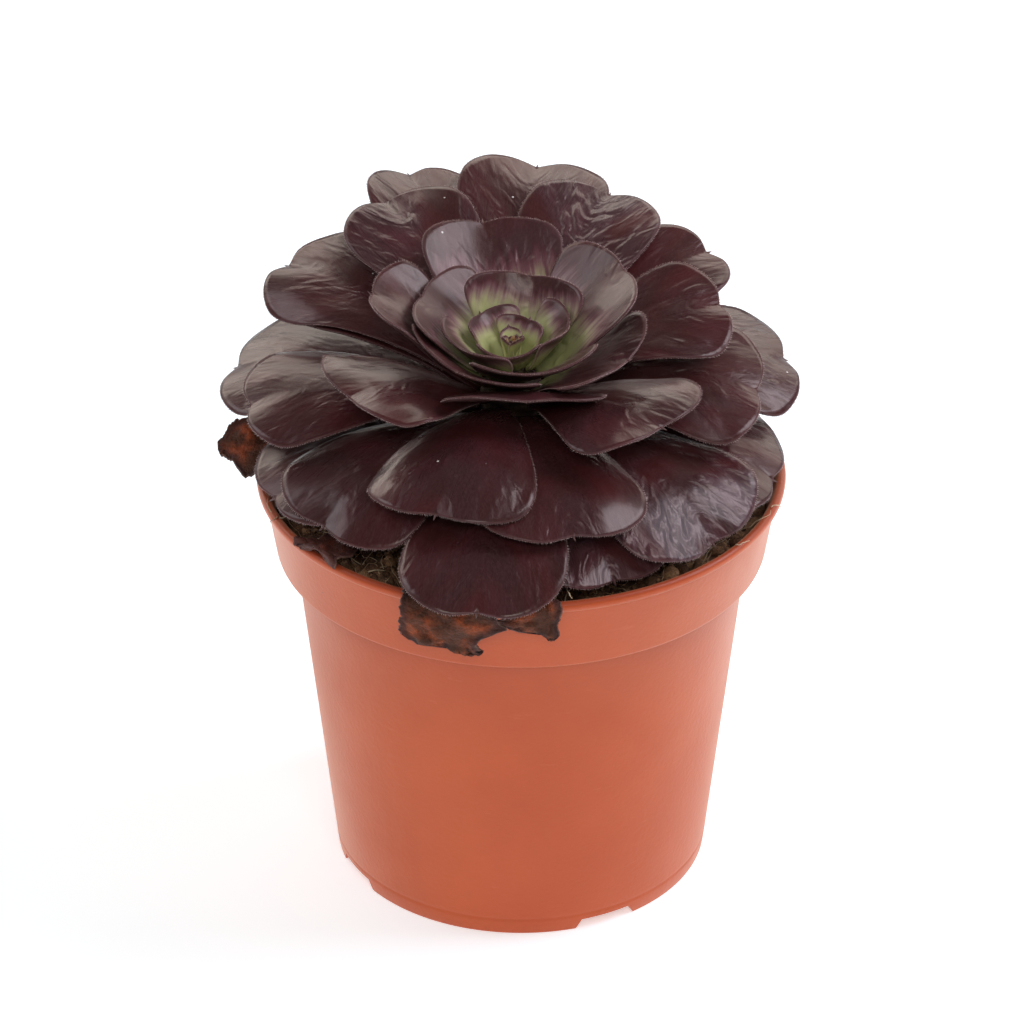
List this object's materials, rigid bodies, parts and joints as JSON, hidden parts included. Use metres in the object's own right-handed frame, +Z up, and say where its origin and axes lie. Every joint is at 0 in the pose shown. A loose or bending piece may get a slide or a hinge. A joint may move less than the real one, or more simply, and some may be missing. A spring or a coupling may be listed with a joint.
{
  "type": "potted aeonium",
  "caption": "Potted aeonium: a rosette of glossy dark burgundy, notched leaves with a green heart on a short stem, in a round terracotta-coloured plastic nursery pot filled with soil.",
  "frame": {"origin": "under the middle of the whole plant's bounding box, on the surface that the pot stands on; the pot's own axis is about 2.9 mm to the +X side of it", "axes": "+Z up along the pot's axis; the picture was taken from the -Y side, with +X to its right; the pot's foot rests on z = 0"},
  "size_m": [0.1326, 0.1384, 0.1464],
  "materials": {
    "pot_plastic": "satin",
    "potting_soil": "matte",
    "stem": "matte",
    "young_leaf": "satin",
    "leaf": "satin gloss",
    "withered_leaf": "matte"
  },
  "bodies": {
    "root": {"pot": "pot_plastic", "soil": "potting_soil", "stem": "stem", "heart": "young_leaf", "leaf_01": "young_leaf", "leaf_02": "young_leaf", "leaf_03": "young_leaf", "leaf_04": "young_leaf", "leaf_05": "young_leaf", "leaf_06": "young_leaf", "leaf_07": "leaf", "leaf_08": "leaf", "leaf_09": "leaf", "leaf_10": "leaf", "leaf_11": "leaf", "leaf_12": "leaf", "leaf_13": "leaf", "leaf_14": "leaf", "leaf_15": "leaf", "leaf_16": "leaf", "leaf_17": "leaf", "leaf_18": "leaf", "leaf_19": "leaf", "leaf_20": "leaf", "leaf_21": "leaf", "leaf_22": "leaf", "leaf_23": "leaf", "leaf_24": "leaf", "leaf_25": "leaf", "leaf_26": "leaf", "leaf_27": "leaf", "leaf_28": "leaf", "leaf_29": "leaf", "leaf_30": "leaf", "leaf_31": "leaf", "leaf_32": "leaf", "leaf_33": "leaf", "leaf_34": "leaf", "leaf_35": "leaf", "leaf_36": "leaf", "leaf_37": "leaf", "leaf_38": "leaf", "leaf_39": "leaf", "leaf_40": "leaf", "leaf_41": "leaf", "leaf_42": "leaf", "leaf_43": "leaf", "leaf_44": "leaf", "leaf_45": "leaf", "leaf_46": "leaf", "withered_leaf_1": "withered_leaf", "withered_leaf_2": "withered_leaf", "withered_leaf_3": "withered_leaf", "withered_leaf_4": "withered_leaf"}
  },
  "joints": []
}
